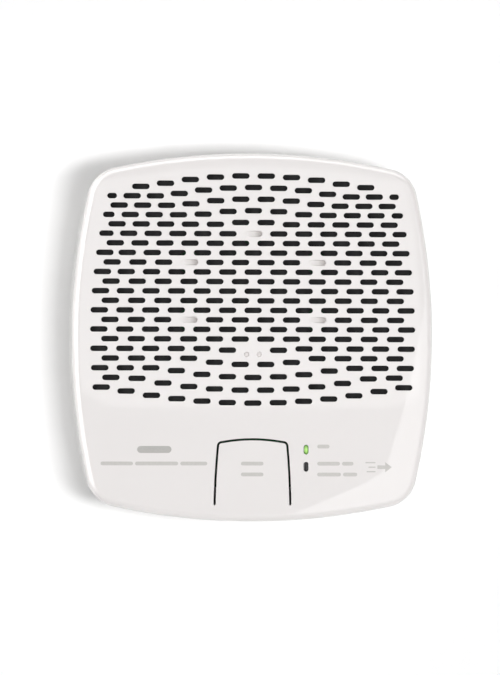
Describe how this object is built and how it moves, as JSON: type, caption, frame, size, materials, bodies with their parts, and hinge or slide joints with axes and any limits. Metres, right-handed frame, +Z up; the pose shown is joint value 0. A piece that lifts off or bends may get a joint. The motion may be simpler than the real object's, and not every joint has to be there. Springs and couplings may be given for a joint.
{
  "type": "carbon monoxide detector",
  "caption": "Square wall-mounted carbon monoxide alarm with bulged sides, a slotted front, a moulded test button, two light windows, a rear battery door and a slide-on wall bracket.",
  "frame": {"origin": "middle between the two wall screw holes, on the wall plane at the back of the bracket", "axes": "+Z up the wall, the front faces -Y, +Y goes into the wall, +X to the right seen from the front"},
  "size_m": [0.12, 0.038, 0.1222],
  "materials": {
    "cover_plastic": "glossy warm white moulded plastic",
    "housing_plastic": "fine spark-eroded texture, off-white",
    "bracket_plastic": "satin off-white",
    "dark_mesh": "black woven dust mesh",
    "green_light": "clear acrylic, lit green",
    "dark_light": "dark tinted acrylic, unlit",
    "board_green": "solder-masked glass epoxy",
    "led_green": "clear green resin",
    "led_red": "clear red resin",
    "black_plastic": "satin black",
    "red_plastic": "gloss red",
    "white_plastic": "gloss white",
    "brass_plate": "rolled brass",
    "ceramic": "silvered ceramic",
    "tinned_metal": "tinned",
    "capacitor_sleeve": "shrunk sleeve over aluminium",
    "ferrite": "sintered ferrite",
    "cell_sleeve": "printed cell sleeve with plain bands",
    "spring_steel": "nickel-plated spring steel",
    "screw_steel": "zinc plated",
    "label_foil": "satin silver label with plain rules"
  },
  "bodies": {
    "bracket": {"wall_bracket": "bracket_plastic"},
    "detector": {"front_cover": "cover_plastic", "button_hinge_web": "cover_plastic", "dust_screen": "dark_mesh", "power_light_pipe": "green_light", "alarm_light_pipe": "dark_light", "circuit_board": "board_green", "power_led": "led_green", "alarm_led": "led_red", "test_switch_body": "black_plastic", "sounder_base": "black_plastic", "sounder_cap": "black_plastic", "piezo_plate": "brass_plate", "piezo_ceramic": "ceramic", "sensor_cell": "tinned_metal", "sensor_cap": "white_plastic", "sensor_pins": "brass_plate", "controller_chip": "black_plastic", "chip_legs": "tinned_metal", "capacitors": "capacitor_sleeve", "boost_inductor": "ferrite", "chip_resistors": "black_plastic", "timing_crystal": "tinned_metal", "rear_housing": "housing_plastic", "battery_cells": "cell_sleeve", "battery_caps": "tinned_metal", "positive_contact": "spring_steel", "negative_contact": "spring_steel", "contact_link": "spring_steel", "contact_springs": "spring_steel", "housing_screws": "screw_steel", "board_screws": "screw_steel", "rating_label": "label_foil"},
    "button": {"test_button": "cover_plastic"},
    "plunger": {"test_switch_plunger": "red_plastic"},
    "door": {"battery_door": "housing_plastic"}
  },
  "joints": [
    {"name": "lift_off_bracket", "type": "slide", "parent": "bracket", "child": "detector", "axis": [0, 0, 1], "range_m": [0, 0.005]},
    {"name": "button_press", "type": "hinge", "parent": "detector", "child": "button", "pos_m": [0, -0.037, -0.0555], "axis": [-1, 0, 0], "range_deg": [0, 2], "stiffness_Nm_per_rad": 0.8, "deforming": ["button_hinge_web"]},
    {"name": "plunger_press", "type": "slide", "parent": "detector", "child": "plunger", "axis": [0, 1, 0], "range_m": [0, 0.00036]},
    {"name": "battery_door_swing", "type": "hinge", "parent": "detector", "child": "door", "pos_m": [0, -0.0045, 0.008], "axis": [1, 0, 0], "range_deg": [0, 90]}
  ],
  "couplings": [
    {"joint": "plunger_press", "follows": "button_press", "m_per_rad": 0.01}
  ]
}
